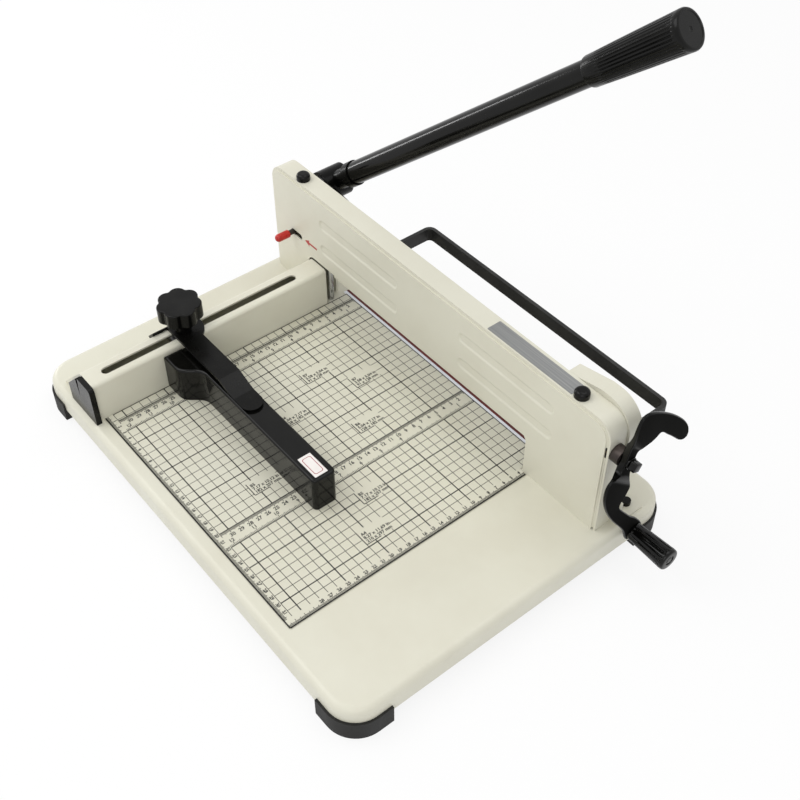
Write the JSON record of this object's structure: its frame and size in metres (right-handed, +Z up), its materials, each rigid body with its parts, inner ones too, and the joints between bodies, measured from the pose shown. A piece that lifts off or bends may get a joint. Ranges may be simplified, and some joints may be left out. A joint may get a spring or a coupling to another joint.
{
  "type": "guillotine paper cutter",
  "caption": "Bench guillotine for stacks of paper: long lever drives a slanting blade carriage, a crank with rack and pinions lowers the clamp, a sliding back gauge squares the stack.",
  "frame": {"origin": "on the floor under the feet, at the middle of the whole part's outline with the lever raised", "axes": "+X along the blade from the fence towards the crank, +Y from the operator's table towards the back, +Z up"},
  "size_m": [0.5968, 0.4682, 0.4721],
  "materials": {
    "cream_paint": "powder coat",
    "black_gloss": "gloss",
    "black_satin": "satin",
    "black_rubber": "matte",
    "black_plastic": "satin",
    "grey_guard": "matte",
    "scale_print": "printed",
    "silver": "satin",
    "stick_red": "satin",
    "lock_red": "soft gloss",
    "steel": "brushed",
    "chrome": "polished",
    "brass": "plain",
    "dark_steel": "blackened"
  },
  "bodies": {
    "frame": {"base_tray": "cream_paint", "corner_feet": "black_rubber", "scale_plate": "scale_print", "stick_channel": "silver", "cutting_stick": "stick_red", "fence": "cream_paint", "fence_end_cap": "black_plastic", "front_panel": "cream_paint", "gantry_shell": "cream_paint", "back_plate": "cream_paint", "foot_brackets": "cream_paint", "bracket_bolts": "black_satin", "top_caps": "black_plastic", "guide_rods": "chrome", "rod_brackets": "steel", "bearing_block_left": "steel", "bearing_block_right": "steel", "crank_bush": "brass", "pivot_boss": "steel", "pivot_stud": "steel", "pivot_nut": "steel", "latch_screws": "steel"},
    "lever": {"lever_hub": "black_satin", "lever_tube": "black_satin", "lever_grip": "black_plastic", "drive_pin": "steel"},
    "carriage": {"blade_carrier": "cream_paint", "blade": "steel", "blade_screws": "steel", "guide_pins": "steel", "guard_bar": "grey_guard", "guard_screws": "steel"},
    "clamp": {"clamp_bar": "cream_paint", "clamp_bushes": "brass", "clamp_racks": "steel"},
    "cross": {"cross_shaft": "steel", "drive_pinions": "steel", "cross_gear": "steel"},
    "crank": {"crank_shaft": "steel", "crank_gear": "steel", "crank_collar": "dark_steel", "crank_arm": "black_gloss", "crank_screw": "black_satin", "crank_spindle": "steel"},
    "crank_grip": {"crank_knob": "black_plastic"},
    "lock": {"lock_latch": "steel", "lock_pin": "dark_steel", "lock_tip": "lock_red"},
    "gauge": {"gauge_bar": "black_gloss", "gauge_strap": "black_satin", "gauge_nut": "steel"},
    "gauge_clamp": {"gauge_knob": "black_plastic", "gauge_stud": "steel"}
  },
  "joints": [
    {"name": "lever_hinge", "type": "hinge", "parent": "frame", "child": "lever", "pos_m": [-0.2459, 0.12467, 0.14814], "axis": [0, 1, 0], "range_deg": [0, 40]},
    {"name": "carriage_slide", "type": "slide", "parent": "frame", "child": "carriage", "axis": [-0.4478, 0, -0.8942], "range_m": [0, 0.0521]},
    {"name": "clamp_slide", "type": "slide", "parent": "frame", "child": "clamp", "axis": [0, 0, -1], "range_m": [0, 0.044]},
    {"name": "cross_turn", "type": "hinge", "parent": "frame", "child": "cross", "pos_m": [0, 0.08227, 0.1291], "axis": [1, 0, 0], "range_deg": [0, 421]},
    {"name": "crank_turn", "type": "hinge", "parent": "frame", "child": "crank", "pos_m": [0, 0.08022, 0.14497], "axis": [1, 0, 0], "range_deg": [-421, 0]},
    {"name": "knob_spin", "type": "hinge", "parent": "crank", "child": "crank_grip", "pos_m": [0.2711, 0.09854, 0.04107], "axis": [1, 0, 0], "continuous": true},
    {"name": "lock_slide", "type": "slide", "parent": "frame", "child": "lock", "axis": [1, 0, 0], "range_m": [0, 0.013]},
    {"name": "gauge_slide", "type": "slide", "parent": "frame", "child": "gauge", "axis": [0, 1, 0], "range_m": [-0.08, 0.128]},
    {"name": "gauge_knob_turn", "type": "hinge", "parent": "gauge", "child": "gauge_clamp", "pos_m": [-0.2019, -0.10513, 0.11], "axis": [0, 0, 1], "range_deg": [0, 360]}
  ],
  "couplings": [
    {"joint": "carriage_slide", "follows": "lever_hinge", "m_per_rad": 0.074491},
    {"joint": "cross_turn", "follows": "clamp_slide", "rad_per_m": 166.67},
    {"joint": "crank_turn", "follows": "clamp_slide", "rad_per_m": -166.67}
  ]
}
